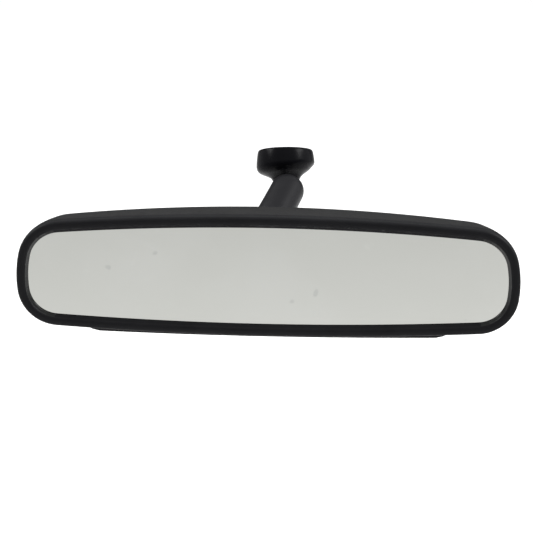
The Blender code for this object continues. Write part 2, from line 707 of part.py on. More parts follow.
def make_tube(mat):
    """Stem with a domed socket at each end. Each lip closes in round its ball."""
    length = ARM_LENGTH
    upper_cavity = UPPER_TUBE_R - TUBE_LIP_WALL
    lower_cavity = LOWER_TUBE_R - TUBE_LIP_WALL
    upper_bore = 180 - math.degrees(math.asin(BORE_R / upper_cavity))
    lower_bore = 180 - math.degrees(math.asin(BORE_R / lower_cavity))
    outer = [(r, -z) for r, z in arc(UPPER_TUBE_R, 0, MOUTH_ANGLE + 1.5, 92, 5)]
    outer += [(r, length + z) for r, z in arc(LOWER_TUBE_R, 0, 92, MOUTH_ANGLE + 1.5, 5)]
    inner = [(r, length + z) for r, z in arc(lower_cavity, 0, MOUTH_ANGLE, lower_bore, 7)]
    inner += [(r, -z) for r, z in arc(upper_cavity, 0, upper_bore, MOUTH_ANGLE, 7)]
    return turned("arm_tube", outer + inner, mat, arm_frame(), closed=True)


def make_liner(name, ball_r, mat, frame):
    """Thin band round the ball. The frame's Z runs along the tube, so the mouth is at -Z."""
    inner = ball_r + LINER_GAP
    outer = inner + LINER_THICKNESS
    profile = [(r, -z) for r, z in arc(outer, 0, BAND_START, BAND_END, 4)]
    profile += [(r, -z) for r, z in arc(inner, 0, BAND_END, BAND_START, 4)]
    return turned(name, profile, mat, frame, closed=True, steps=28)


def make_cup(name, ball_r, mat, frame):
    seat_r = ball_r + LINER_GAP
    rim = 180 - math.degrees(math.asin((CUP_R - CUP_RIM) / seat_r))
    seat = [(r, -z) for r, z in arc(seat_r, 0, rim, 156, 4)]
    floor = seat[0][1] + CUP_LENGTH
    profile = seat + [(seat[-1][0], seat[-1][1] + 1.2), (CUP_HOLE_R, floor), (CUP_R - 0.7, floor)]
    profile += [(CUP_R, floor - 0.6), (CUP_R, seat[0][1] + 0.3)]
    return turned(name, profile, mat, frame, closed=True, steps=24)


def cup_floor(ball_r):
    """Distance from a ball's centre to the spring side of its cup."""
    seat_r = ball_r + LINER_GAP
    return math.sqrt(seat_r**2 - (CUP_R - CUP_RIM) ** 2) + CUP_LENGTH


def make_washer(name, start, mat):
    end = start + WASHER_THICKNESS
    profile = [(WASHER_HOLE_R, start), (WASHER_R, start), (WASHER_R, end), (WASHER_HOLE_R, end)]
    return turned(name, profile, mat, arm_frame(), closed=True, steps=24)


def make_spring(mat):
    """Compression spring between the two washers."""
    margin = FIT_GAP + WASHER_THICKNESS + FIT_GAP + SPRING_WIRE_R
    start = cup_floor(UPPER_BALL_R) + margin
    end = ARM_LENGTH - cup_floor(LOWER_BALL_R) - margin
    curve = bpy.data.curves.new("arm_spring", "CURVE")
    curve.dimensions = "3D"
    spline = curve.splines.new("POLY")
    per_turn = 12
    count = SPRING_TURNS * per_turn + 1
    spline.points.add(count - 1)
    for i in range(count):
        share = i / (count - 1)
        angle = 2 * math.pi * SPRING_TURNS * share
        x, y = SPRING_R * math.cos(angle), SPRING_R * math.sin(angle)
        spline.points[i].co = (x * MM, y * MM, (start + (end - start) * share) * MM, 1.0)
    curve.bevel_depth = SPRING_WIRE_R * MM
    curve.bevel_resolution = 1
    curve.use_fill_caps = True
    obj = bpy.data.objects.new("arm_spring", curve)
    frame = arm_frame()
    obj.matrix_world = Matrix.Translation(frame.translation * MM) @ frame.to_3x3().to_4x4()
    PARTS.objects.link(obj)
    curve.materials.append(mat)
    return obj


# ---- Foot pieces. Z is the outward normal of the mounting face ----


def foot_frame():
    tilt = Matrix.Rotation(math.radians(-FOOT_SIDE_TILT), 4, "Y")
    return tilt @ Matrix.Rotation(math.radians(-WINDSHIELD_RAKE), 4, "X")


def stud_root():
    """Where the upper stud's axis meets the bell's axis."""
    return foot_frame() @ Vector((0, 0, -STUD_AXIS_DEPTH))


def upper_stud_frame():
    """Z runs from the upper ball's centre into the bell."""
    return frame_along(UPPER_BALL, stud_root() - UPPER_BALL)


def bell_rings():
    """Rows of depth below the face, share of FOOT_R and share of SHOULDER_SKEW, which lowers the left."""
    table = [
        (0.0, 0.952, 0.0),
        (0.25, 0.983, 0.0),
        (0.9, 1.003, 0.0),
        (4.0, 1.02, 0.19),
        (6.6, 1.045, 0.56),
        (8.3, 1.044, 0.81),
        (9.4, 1.022, 0.97),
        (10.2, 0.978, 1.0),
        (11.0, 0.908, 0.88),
        (11.8, 0.82, 0.66),
        (12.6, 0.722, 0.5),
        (13.4, 0.632, 0.38),
        (14.2, 0.56, 0.19),
        (15.2, 0.507, 0.0),
        (16.3, 0.459, 0.0),
        (17.0, 0.384, 0.0),
        (17.3, 0.247, 0.0),
    ]
    rings = []
    for depth, share, skew in table:
        ring = []
        for i in range(ROUND_STEPS):
            angle = 2 * math.pi * i / ROUND_STEPS
            side, radius = math.cos(angle), FOOT_R * share
            height = SHOULDER_SKEW * skew * side - depth
            ring.append(Vector((radius * side, radius * math.sin(angle), height)))
        rings.append(ring)
    return rings


def make_bell(mat):
    """Cup for the windshield button that tapers to a neck holding the ball stud at an angle."""
    frame = foot_frame()
    bell = loft("foot_bell", bell_rings(), mat, frame, smooth=True)
    cut(bell, rod("socket", SOCKET_R, -SOCKET_DEPTH, 2.0, None, frame, ROUND_STEPS))
    stud = upper_stud_frame()
    cut(bell, rod("upper_stud_hole", STUD_R + FIT_GAP, 8.0, UPPER_STUD_LENGTH + FIT_GAP, None, stud, 24))
    hole_r = CLIP_SCREW_R + 0.2
    cut(bell, rod("clip_screw_hole", hole_r, -SOCKET_DEPTH - 2.2, -2.0, None, frame, 16))
    return bell


def make_upper_stud(mat):
    ball, neck = UPPER_BALL_R, UPPER_NECK_R
    start = math.degrees(math.asin(neck / ball))
    end = UPPER_STUD_LENGTH
    profile = [(0, end), (STUD_TIP_R, end), (STUD_R, end - STUD_CHAMFER), (STUD_R, ball + 4.7)]
    profile += [(neck, ball + 2.9)] + arc(ball, 0, start, 180, 10)
    profile[-1] = (0, -ball)
    return turned("upper_ball_stud", profile, mat, upper_stud_frame(), steps=28)


def make_button_clip(mat):
    """Stamped spring plate on the socket's floor, with two ears that grip the windshield button."""
    frame = foot_frame()
    floor = -SOCKET_DEPTH + FIT_GAP
    clip = rod("button_clip", CLIP_R, floor, floor + CLIP_THICKNESS, mat, frame, 28)
    half = CLIP_EAR_HALF_WIDTH
    for tag, side in (("l", -1), ("r", 1)):
        inner, outer = side * (CLIP_R - CLIP_THICKNESS), side * CLIP_R
        low = (min(inner, outer), -half, floor + 0.2)
        high = (max(inner, outer), half, floor + CLIP_EAR_HEIGHT)
        join(clip, box(f"clip_ear_{tag}", low, high, None, frame))
    cut(clip, rod("clip_hole", CLIP_SCREW_R + 0.55, -SOCKET_DEPTH - 1, 0, None, frame, 20))
    return clip


def make_clip_screw(mat):
    frame = foot_frame()
    top = -SOCKET_DEPTH + CLIP_THICKNESS + 2 * FIT_GAP
    head, shank = CLIP_SCREW_HEAD_R, CLIP_SCREW_R
    profile = [(0, top + 1.0), (head - 0.6, top + 1.0), (head - 0.1, top + 0.6), (head, top)]
    profile += [(shank, top), (shank, top - 2.2), (shank - 0.4, top - 2.8), (0, top - 2.8)]
    screw = turned("clip_screw", profile, mat, frame, steps=16)
    for tag, size in (("a", (1.8, 0.35)), ("b", (0.35, 1.8))):
        low, high = (-size[0], -size[1], top + 0.5), (size[0], size[1], top + 3)
        cut(screw, box(f"clip_recess_{tag}", low, high, None, frame))
    return screw


# ---- Joints' axes and the tree ----


def pivot(name, at):
    empty = bpy.data.objects.new(name, None)
    empty.empty_display_size = 0.01
    empty.location = at * MM
    PARTS.objects.link(empty)
    return empty


def hang(empty, *objects):
    """Parents pieces to the empty on their joint's axis and leaves them where they are."""
    offset = Matrix.Translation(empty.location).inverted()
    for obj in objects:
        obj.matrix_basis = offset @ obj.matrix_basis
        obj.parent = empty


def build():
    start_scene()
    black = material("satin_black", (0.030, 0.030, 0.032), 0.42)
    gloss = material("gloss_black", (0.008, 0.008, 0.009), 0.12)
    silver = material("silvered_glass", (0.72, 0.73, 0.72), 0.03, 1.0)
    steel = material("zinc_steel", (0.55, 0.55, 0.56), 0.32, 1.0)
    nylon = material("white_nylon", (0.70, 0.69, 0.65), 0.5)
    rubber = material("rubber", (0.02, 0.02, 0.02), 0.8)
    film = material("backing", (0.10, 0.10, 0.11), 0.7)

    head = [make_bezel(black), make_glass(silver), make_film(film), make_casing(black)]
    head += [make_pivot_frame(nylon)]
    head += [make_pin("flip_pin", FLIP_PIN_Z, steel), make_pin("lever_pin", LEVER_PIN_Z, steel)]
    head += [make_toggle_spring(steel)] + make_frame_screws(steel) + make_bumpers(rubber)
    lever = make_lever(black)
    mount = [make_mount_plate(steel), make_lower_stud(steel), make_stud_nut(steel)]
    down = arm_frame()
    up = arm_frame_from_lower()
    lower_liner = make_liner("lower_liner", LOWER_BALL_R, nylon, up)
    lower_cup = make_cup("lower_cup", LOWER_BALL_R, nylon, up)
    upper_liner = make_liner("upper_liner", UPPER_BALL_R, nylon, down)
    upper_cup = make_cup("upper_cup", UPPER_BALL_R, nylon, down)
    upper_washer = make_washer("upper_washer", cup_floor(UPPER_BALL_R) + FIT_GAP, steel)
    last = ARM_LENGTH - cup_floor(LOWER_BALL_R) - FIT_GAP - WASHER_THICKNESS
    lower_washer = make_washer("lower_washer", last, steel)
    arm = [make_tube(black), make_spring(steel), upper_washer, lower_washer]
    make_bell(gloss)
    make_upper_stud(steel)
    make_button_clip(steel)
    make_clip_screw(steel)

    hang(pivot("upper_ball_centre", UPPER_BALL), upper_liner, upper_cup, *arm)
    hang(pivot("lower_ball_centre", LOWER_BALL), lower_cup, lower_liner, *mount)
    hang(pivot("flip_axis", FACE_CENTRE + Vector((MECH_X, PIVOT_Y, FLIP_PIN_Z))), *head)
    hang(pivot("lever_axis", FACE_CENTRE + Vector((MECH_X, PIVOT_Y, LEVER_PIN_Z))), lever)


build()
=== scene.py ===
import math

import bmesh
import bpy
from mathutils import Matrix, Vector


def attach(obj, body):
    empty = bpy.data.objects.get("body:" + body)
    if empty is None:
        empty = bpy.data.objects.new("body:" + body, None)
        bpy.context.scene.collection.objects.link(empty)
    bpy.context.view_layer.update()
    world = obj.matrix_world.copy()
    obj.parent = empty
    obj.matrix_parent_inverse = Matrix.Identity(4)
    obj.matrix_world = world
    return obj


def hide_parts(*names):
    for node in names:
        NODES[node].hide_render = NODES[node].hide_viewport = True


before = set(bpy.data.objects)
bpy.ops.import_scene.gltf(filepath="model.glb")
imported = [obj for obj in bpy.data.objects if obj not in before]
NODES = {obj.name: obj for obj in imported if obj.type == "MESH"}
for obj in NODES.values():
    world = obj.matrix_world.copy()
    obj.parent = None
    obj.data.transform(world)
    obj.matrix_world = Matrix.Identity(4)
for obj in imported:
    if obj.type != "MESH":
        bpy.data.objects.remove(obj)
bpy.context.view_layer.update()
MM = 0.001

# ---- Sizes, in millimetres and degrees; the shape's are the CAD part's ----

FACE_CENTRE = Vector((-5.4, -96.8, -37.4))
MECH_X = -4.5
LOWER_BALL_Z = 8.0
LOWER_BALL = FACE_CENTRE + Vector((MECH_X, 38.0, LOWER_BALL_Z))
UPPER_BALL = FACE_CENTRE + Vector((7.1, 74.3, 22.1))
WINDSHIELD_RAKE = 24.3
FOOT_SIDE_TILT = 2.2

HALF_WIDTH = 125.0
HALF_HEIGHT = 31.2
TOP_CROWN_R = 1240.0
BOTTOM_CROWN_R = 1730.0
END_CROWN_R = 60.0
END_CROWN_Z = -2.6
TOP_CORNER_R = 22.0
BOTTOM_CORNER_R = 20.7

BEZEL_DEPTH = 6.0
LIP_INSET = 5.9
LIP_BACK = 1.9
RIB_INSET = 2.9
RIB_DEPTH = 8.2
RIB_WALL = 1.4
POCKET_INSET = RIB_INSET + RIB_WALL + 0.05
FIT_GAP = 0.3
GLASS_TOP = 5.6
GLASS_BOTTOM = 2.4

CASING_WALL = 1.8
CASING_DEPTH = 27.0
CASING_BOW = 6.7
BOW_START = 6.3
BOW_DEPTH = 20.0
CHIN_DROP = 2.75
CHIN_END_DROP = 3.65
CHIN_HALF_WIDTH = 95.0
CHIN_FLAT = 86.0

NECK_LEAN = 12.0
NECK_REACH = 10.0
NECK_R = 6.5
SLOT_HALF_WIDTH = 12.0
SLOT_FRONT = 11.5
SLOT_BACK = CASING_DEPTH - 1.4
SLOT_TOP = -HALF_HEIGHT + 6.7
SLOT_BOTTOM = -HALF_HEIGHT - 7.3

UPPER_TUBE_R = 8.8
LOWER_TUBE_R = 9.3
TUBE_LIP_WALL = 1.05
TUBE_LIP_CHAMFER = 0.3
MOUTH_ANGLE = 54.0
BORE_R = 6.9

FOOT_R = 14.6
SOCKET_R = 11.3
SOCKET_DEPTH = 6.8
STUD_AXIS_DEPTH = 11.5
STUD_BORE_R = 3.3
SCREW_BORE_R = 1.4
SHOULDER_SKEW = 1.6

END_STEPS, CORNER_STEPS, CROWN_STEPS = 16, 20, 60
ROUND_STEPS = 96
ON_AXIS = 1e-6


# ---- Mesh helpers ----


def object_of(name, mesh, at=Matrix.Identity(4)):
    """An object from a mesh in millimetres, placed by a frame in millimetres."""
    mesh.transform(Matrix.Scale(MM, 4) @ at)
    obj = bpy.data.objects.new(name, mesh)
    bpy.context.scene.collection.objects.link(obj)
    return obj


def mesh_of(name, points, faces, marks=None):
    mesh = bpy.data.meshes.new(name)
    mesh.from_pydata([tuple(p) for p in points], [], faces)
    if marks:
        mesh.polygons.foreach_set("material_index", marks)
    made = bmesh.new()
    made.from_mesh(mesh)
    bmesh.ops.recalc_face_normals(made, faces=made.faces)
    made.to_mesh(mesh)
    made.free()
    mesh.polygons.foreach_set("use_smooth", [True] * len(mesh.polygons))
    return mesh


def strip_cap(count, base):
    """Faces that close a head section with strips from its top edge to its bottom edge."""
    half = count // 2
    faces = [tuple(range(END_STEPS + 1)), tuple(range(half, half + END_STEPS + 1))]
    for k in range(half - END_STEPS):
        faces.append((END_STEPS + k, END_STEPS + k + 1, count - k - 1, (count - k) % count))
    return [tuple(base + i for i in face) for face in faces]


def loft(name, rings, at=Matrix.Identity(4), closed=False, strips=False, marked=()):
    """Joins rings of equal point counts. The bands listed in marked get material index 1."""
    count = len(rings[0])
    points = [p for ring in rings for p in ring]
    faces, marks = [], []
    for k in range(len(rings) if closed else len(rings) - 1):
        a, b = k * count, ((k + 1) % len(rings)) * count
        for i in range(count):
            j = (i + 1) % count
            faces.append((a + i, a + j, b + j, b + i))
            marks.append(1 if k in marked else 0)
    if not closed:
        base = (len(rings) - 1) * count
        ends = [tuple(range(count))[::-1]]
        ends += strip_cap(count, base) if strips else [tuple(range(base, base + count))]
        faces += ends
        marks += [0] * len(ends)
    return object_of(name, mesh_of(name, points, faces, marks), at)


def turned(name, profile, at, closed=False, steps=ROUND_STEPS):
    """Turns (radius, height) points about the frame's Z axis, where open profiles start and end."""
    count = len(profile)
    points, faces, start = [], [], []
    for r, z in profile:
        start.append(len(points))
        if r < ON_AXIS:
            points.append((0, 0, z))
        else:
            for i in range(steps):
                a = 2 * math.pi * i / steps
                points.append((r * math.cos(a), r * math.sin(a), z))
    for k in range(count if closed else count - 1):
        n = (k + 1) % count
        for i in range(steps):
            j = (i + 1) % steps
            low = [start[k]] if profile[k][0] < ON_AXIS else [start[k] + i, start[k] + j]
            high = [start[n]] if profile[n][0] < ON_AXIS else [start[n] + j, start[n] + i]
            faces.append(tuple(low + high))
    return object_of(name, mesh_of(name, points, faces), at)


def frame_along(origin, direction):
    """A frame whose Z axis runs along the direction."""
    z = Vector(direction).normalized()
    y = z.cross(Vector((1, 0, 0))).normalized()
    x = y.cross(z)
    made = Matrix((x, y, z)).transposed().to_4x4()
    made.translation = origin
    return made


def arc(radius, centre, start, end, count):
    """(radius, height) points on a circle, by degrees from its top."""
    angles = [math.radians(start + (end - start) * i / (count - 1)) for i in range(count)]
    return [(radius * math.sin(a), centre + radius * math.cos(a)) for a in angles]


def catmull_rom(a, b, c, d, t):
    slope, bend, twist = c - a, 2 * a - 5 * b + 4 * c - d, 3 * b - a - 3 * c + d
    return 0.5 * (2 * b + slope * t + bend * t * t + twist * t**3)


def smoothed(table, steps):
    """A table's rows with Catmull-Rom rows between them."""
    rows = []
    for k in range(len(table) - 1):
        near = [table[min(max(k + d, 0), len(table) - 1)] for d in (-1, 0, 1, 2)]
        for s in range(steps):
            rows.append(tuple(catmull_rom(*column, s / steps) for column in zip(*near)))
    return rows + [table[-1]]


def carve(obj, cutter):
    """Cuts a hole and removes the cutter."""
    modifier = obj.modifiers.new(cutter.name, "BOOLEAN")
    modifier.solver = "EXACT"
    modifier.object = cutter
    graph = bpy.context.evaluated_depsgraph_get()
    mesh = bpy.data.meshes.new_from_object(obj.evaluated_get(graph))
    obj.modifiers.clear()
    obj.data = mesh
    bpy.data.objects.remove(cutter, do_unlink=True)


def block(name, low, high, at):
    made = bmesh.new()
    bmesh.ops.create_cube(made, size=1.0)
    low, high = Vector(low), Vector(high)
    bmesh.ops.scale(made, vec=high - low, verts=made.verts)
    bmesh.ops.translate(made, vec=(low + high) / 2, verts=made.verts)
    mesh = bpy.data.meshes.new(name)
    made.to_mesh(mesh)
    made.free()
    return object_of(name, mesh, at)


def sharp_by_angle(obj, degrees):
    """Smooth shading, with an edge kept sharp where its faces meet at more than the angle."""
    obj.data.polygons.foreach_set("use_smooth", [True] * len(obj.data.polygons))
    obj.data.set_sharp_from_angle(angle=math.radians(degrees))


# ---- Materials ----

GRAIN_HEIGHT = 0.00004
STREAK_SPREAD = 0.06
SHEEN_SPREAD = 0.08
GLASS_TINT = (0.406, 0.410, 0.388)
GLASS_HAZE = (0.423, 0.427, 0.408)
GLASS_SPECK = (0.36, 0.37, 0.35)
# Painted reflection: towards both ends the bezel's inner wall gets a lighter colour and more gloss,
# where it reflects the side lights: (distance from the middle, gloss).
LIP_PAINTED_SHEEN = ((106.0, 0.12), (110.0, 0.22), (114.0, 0.36))


def new_material(name):
    mat = bpy.data.materials.new(name)
    mat.use_nodes = True
    tree = mat.node_tree
    tree.nodes.clear()
    out = tree.nodes.new("ShaderNodeOutputMaterial")
    shader = tree.nodes.new("ShaderNodeBsdfPrincipled")
    tree.links.new(shader.outputs[0], out.inputs["Surface"])
    return mat, tree, shader


def place_coords(tree):
    node = tree.nodes.get("place") or tree.nodes.new("ShaderNodeTexCoord")
    node.name = "place"
    return node.outputs["Object"]


def noise(tree, scale, detail=4.0, rough=0.5, distortion=0.0):
    node = tree.nodes.new("ShaderNodeTexNoise")
    node.inputs["Scale"].default_value = scale
    node.inputs["Detail"].default_value = detail
    node.inputs["Roughness"].default_value = rough
    node.inputs["Distortion"].default_value = distortion
    tree.links.new(place_coords(tree), node.inputs["Vector"])
    return node.outputs["Fac"]


def remap(tree, value, low, high, to_low, to_high):
    node = tree.nodes.new("ShaderNodeMapRange")
    ends = {"From Min": low, "From Max": high, "To Min": to_low, "To Max": to_high}
    for socket, number in ends.items():
        node.inputs[socket].default_value = number
    tree.links.new(value, node.inputs["Value"])
    return node.outputs["Result"]


def mix_colour(tree, share, a, b):
    node = tree.nodes.new("ShaderNodeMix")
    node.data_type = "RGBA"
    tree.links.new(share, node.inputs["Factor"])
    # Among the node's sockets, 6 and 7 are the colours A and B, and output 2 is the colour.
    for value, socket in ((a, node.inputs[6]), (b, node.inputs[7])):
        if isinstance(value, tuple):
            socket.default_value = (*value, 1.0)
        else:
            tree.links.new(value, socket)
    return node.outputs[2]


def bump(tree, shader, height, strength, distance):
    node = tree.nodes.new("ShaderNodeBump")
    node.inputs["Strength"].default_value = strength
    node.inputs["Distance"].default_value = distance
    tree.links.new(height, node.inputs["Height"])
    tree.links.new(node.outputs[0], shader.inputs["Normal"])


def worn_edges(tree, low, high):
    """1 on exposed edges, from the surface's pointiness, 0 elsewhere."""
    node = tree.nodes.new("ShaderNodeNewGeometry")
    return remap(tree, node.outputs["Pointiness"], low, high, 0.0, 1.0)


def moulded(name, colour, roughness, grain_scale, grain, specular, lighter=1.6, edge=2.2):
    """Moulded plastic or rubber with lighter patches, worn edges, uneven gloss and a fine grain."""
    mat, tree, shader = new_material(name)
    patch = remap(tree, noise(tree, 45, 5, 0.6), 0.35, 0.7, 0.0, 1.0)
    base = mix_colour(tree, patch, colour, tuple(c * lighter for c in colour))
    worn = tuple(c * edge + 0.004 for c in colour)
    base = mix_colour(tree, worn_edges(tree, 0.54, 0.62), base, worn)
    tree.links.new(base, shader.inputs["Base Color"])
    low, high = roughness - STREAK_SPREAD, roughness + STREAK_SPREAD
    streaks = remap(tree, noise(tree, 210, 3), 0.3, 0.7, low, high)
    tree.links.new(streaks, shader.inputs["Roughness"])
    shader.inputs["Specular IOR Level"].default_value = specular
    bump(tree, shader, noise(tree, grain_scale, 2, 0.6), grain, GRAIN_HEIGHT)
    return mat


def metal(name, colour, roughness):
    """Plated metal with darker patches and an uneven sheen."""
    mat, tree, shader = new_material(name)
    patch = remap(tree, noise(tree, 300, 4), 0.3, 0.7, 0.0, 1.0)
    base = mix_colour(tree, patch, colour, tuple(c * 0.8 for c in colour))
    tree.links.new(base, shader.inputs["Base Color"])
    low, high = roughness - SHEEN_SPREAD, roughness + SHEEN_SPREAD
    sheen = remap(tree, noise(tree, 900, 3), 0.3, 0.7, low, high)
    tree.links.new(sheen, shader.inputs["Roughness"])
    shader.inputs["Metallic"].default_value = 1.0
    bump(tree, shader, noise(tree, 1500, 2), 0.15, GRAIN_HEIGHT / 2)
    return mat


def mirror_glass(name):
    """Silvered glass with faint wiped smudges and a few specks of dust."""
    mat, tree, shader = new_material(name)
    haze = remap(tree, noise(tree, 14, 4, 0.55, 0.6), 0.4, 0.75, 0.0, 1.0)
    base = mix_colour(tree, haze, GLASS_TINT, GLASS_HAZE)
    smear = remap(tree, noise(tree, 42, 6, 0.7, 1.5), 0.62, 0.8, 0.0, 0.6)
    base = mix_colour(tree, smear, base, tuple(1.06 * c for c in GLASS_HAZE))
    speck = remap(tree, noise(tree, 130, 1, 0.3), 0.76, 0.8, 0.0, 1.0)
    base = mix_colour(tree, speck, base, GLASS_SPECK)
    tree.links.new(base, shader.inputs["Base Color"])
    shader.inputs["Metallic"].default_value = 1.0
    tree.links.new(remap(tree, haze, 0.0, 1.0, 0.02, 0.07), shader.inputs["Roughness"])
    return mat


# Each has a colour, roughness, grain scale, grain strength, specular level, and how much lighter
# its patches and its worn edges are.
satin = moulded("satin_black_plastic", (0.0074, 0.0074, 0.0082), 0.46, 2600, 0.4, 0.05, 1.25, 1.5)
casing_black = (0.0096, 0.0096, 0.0099)
casing_skin = moulded("casing_black_plastic", casing_black, 0.52, 1900, 0.5, 0.09, 1.25, 1.5)
# Painted reflection: the inner wall's end skins are lighter than the bead and glossier step by
# step, standing in for the side lights' reflection.
lip_sheen_skins = [
    moulded(f"painted_sheen_black_{i}", (0.011, 0.0114, 0.011), 0.32, 2600, 0.2, level, 1.25, 1.5)
    for i, (_, level) in enumerate(LIP_PAINTED_SHEEN)
]
stem_skin = moulded("stem_black", (0.0072, 0.0072, 0.0083), 0.42, 2200, 0.1, 0.07, 1.2, 1.5)
gloss = moulded("gloss_black_coat", (0.0030, 0.0030, 0.0037), 0.26, 600, 0.05, 0.024, 1.2, 1.3)
nylon = moulded("natural_nylon", (0.60, 0.59, 0.54), 0.5, 1800, 0.2, 0.4, 0.94, 1.0)
rubber = moulded("black_rubber", (0.013, 0.013, 0.013), 0.8, 1500, 0.3, 0.2)
backing = moulded("backing_film", (0.05, 0.05, 0.055), 0.7, 900, 0.1, 0.3)
steel = metal("zinc_plated_steel", (0.55, 0.55, 0.56), 0.32)
glass = mirror_glass("silvered_glass")


def finish(obj, body, slot, node, *mats):
    """Gives the object its materials, and puts it in the place of the CAD's node."""
    for mat in mats:
        obj.data.materials.append(mat)
    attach(obj, body)
    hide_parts(node)


# ---- Head ----

HEAD = Matrix.Translation(FACE_CENTRE)


def corner_centre(crown_r, corner_r, end_z):
    """Centre of the corner arc that touches the crown arc and the end arc from inside."""
    crown_z = HALF_HEIGHT - crown_r
    end_x = HALF_WIDTH - END_CROWN_R
    r1, r2 = crown_r - corner_r, END_CROWN_R - corner_r
    gap = Vector((end_x, end_z - crown_z))
    d = gap.length
    along = (r1 * r1 - r2 * r2 + d * d) / (2 * d)
    off = math.sqrt(r1 * r1 - along * along)
    unit = gap / d
    return Vector((0, crown_z)) + unit * along + Vector((unit.y, -unit.x)) * off


def head_arcs():
    """(centre x, centre z, radius, normal x, normal z), anticlockwise from the right end."""
    top = corner_centre(TOP_CROWN_R, TOP_CORNER_R, END_CROWN_Z)
    low = corner_centre(BOTTOM_CROWN_R, BOTTOM_CORNER_R, -END_CROWN_Z)
    end_x = HALF_WIDTH - END_CROWN_R
    top_end = math.degrees(math.atan2(top.y - END_CROWN_Z, top.x - end_x))
    low_end = math.degrees(math.atan2(low.y + END_CROWN_Z, low.x - end_x))
    top_z, low_z = HALF_HEIGHT - TOP_CROWN_R, HALF_HEIGHT - BOTTOM_CROWN_R
    top_crown = math.degrees(math.atan2(top.y - top_z, top.x))
    low_crown = math.degrees(math.atan2(low.y - low_z, low.x))
    samples = []

    def add(cx, cz, radius, start, end, count):
        for i in range(count):
            a = math.radians(start + (end - start) * i / count)
            samples.append((cx, cz, radius, math.cos(a), math.sin(a)))

    add(end_x, END_CROWN_Z, END_CROWN_R, -low_end, top_end, END_STEPS)
    add(top.x, top.y, TOP_CORNER_R, top_end, top_crown, CORNER_STEPS)
    add(0, top_z, TOP_CROWN_R, top_crown, 180 - top_crown, CROWN_STEPS)
    add(-top.x, top.y, TOP_CORNER_R, 180 - top_crown, 180 - top_end, CORNER_STEPS)
    add(-end_x, END_CROWN_Z, END_CROWN_R, 180 - top_end, 180 + low_end, END_STEPS)
    add(-low.x, -low.y, BOTTOM_CORNER_R, 180 + low_end, 180 + low_crown, CORNER_STEPS)
    add(0, -low_z, BOTTOM_CROWN_R, 180 + low_crown, 360 - low_crown, CROWN_STEPS)
    add(low.x, -low.y, BOTTOM_CORNER_R, -low_crown, -low_end, CORNER_STEPS)
    return samples


ARCS = head_arcs()


def chin_drop(x):
    """How far the casing's ledge hangs below the outline."""
    x = abs(x)
    flat = CHIN_DROP + (CHIN_END_DROP - CHIN_DROP) * (min(x, CHIN_FLAT) / CHIN_FLAT) ** 2
    ramp = (CHIN_HALF_WIDTH - x) / (CHIN_HALF_WIDTH - CHIN_FLAT)
    return max(0.0, flat * min(1.0, ramp))


def head_section(inset, depth, end_inset=0.0, chin=0.0, bow=0.0):
    """The head's outline, set in and placed behind the face; bow brings its ends forward."""
    squeeze = (HALF_WIDTH - end_inset) / HALF_WIDTH
    points = []
    for cx, cz, radius, nx, nz in ARCS:
        x, z = cx + (radius - inset) * nx, cz + (radius - inset) * nz
        if nz < 0:
            z -= chin * chin_drop(cx + radius * nx)
        forward = bow * ((cx + radius * nx) / HALF_WIDTH) ** 2
        points.append(Vector((x * squeeze, depth - forward, z)))
    return points


def make_bezel():
    """Rounded bead and its sloping inner wall, by (inset, depth)."""
    bead = [(0.3, 6.0), (0.12, 5.0), (0.03, 4.0), (0.0, 3.0), (0.02, 2.1), (0.1, 1.45)]
    bead += [(0.27, 0.95), (0.55, 0.57), (0.95, 0.32), (1.5, 0.14), (2.2, 0.03), (2.8, 0.0)]
    bead += [(3.4, 0.07), (3.9, 0.24), (4.25, 0.46), (4.48, 0.74)]
    wall = [(4.6, 0.86), (5.2, 1.12), (5.7, 1.36), (LIP_INSET, 1.54)]
    back = [(LIP_INSET, LIP_BACK), (POCKET_INSET, LIP_BACK), (POCKET_INSET, RIB_DEPTH)]
    back += [(RIB_INSET, RIB_DEPTH), (RIB_INSET, 3.2), (1.7, 3.2), (1.7, BEZEL_DEPTH)]
    section = bead + wall + back
    strip = range(len(bead) - 1, len(bead) + len(wall) - 1)
    rings = [head_section(i, y) for i, y in section]
    obj = loft("bezel_ring", rings, HEAD, closed=True, marked=strip)
    for polygon in obj.data.polygons:
        # Strip faces towards the ends take the painted-reflection skins, one step for each distance
        # passed.
        away = abs(polygon.center.x / MM - FACE_CENTRE.x)
        polygon.material_index *= sum(away > distance for distance, _ in LIP_PAINTED_SHEEN)
    sharp_by_angle(obj, 50)
    finish(obj, "head", "satin_black", "bezel", satin, *lip_sheen_skins)


def make_glass():
    """A wedge of glass, thicker at the top."""
    inset = POCKET_INSET + FIT_GAP
    y = LIP_BACK + FIT_GAP

    def back(p, extra=0.0):
        share = (p.z + HALF_HEIGHT) / (2 * HALF_HEIGHT)
        return Vector((p.x, y + GLASS_BOTTOM + (GLASS_TOP - GLASS_BOTTOM) * share + extra, p.z))

    edge = [(inset + 0.35, y), (inset + 0.1, y + 0.1), (inset, y + 0.35)]
    rings = [head_section(i, depth) for i, depth in edge]
    outer = head_section(inset, 0.0)
    rings += [[back(p, -0.3) for p in outer], [back(p) for p in head_section(inset + 0.3, 0.0)]]
    obj = loft("prismatic_glass", rings, HEAD)
    sharp_by_angle(obj, 10)
    finish(obj, "head", "silvered_glass", "mirror_glass", glass)


def casing_bow(depth):
    """How far the casing's ends are brought forward at this depth."""
    return CASING_BOW * min(1.0, max(0.0, (depth - BOW_START) / BOW_DEPTH))


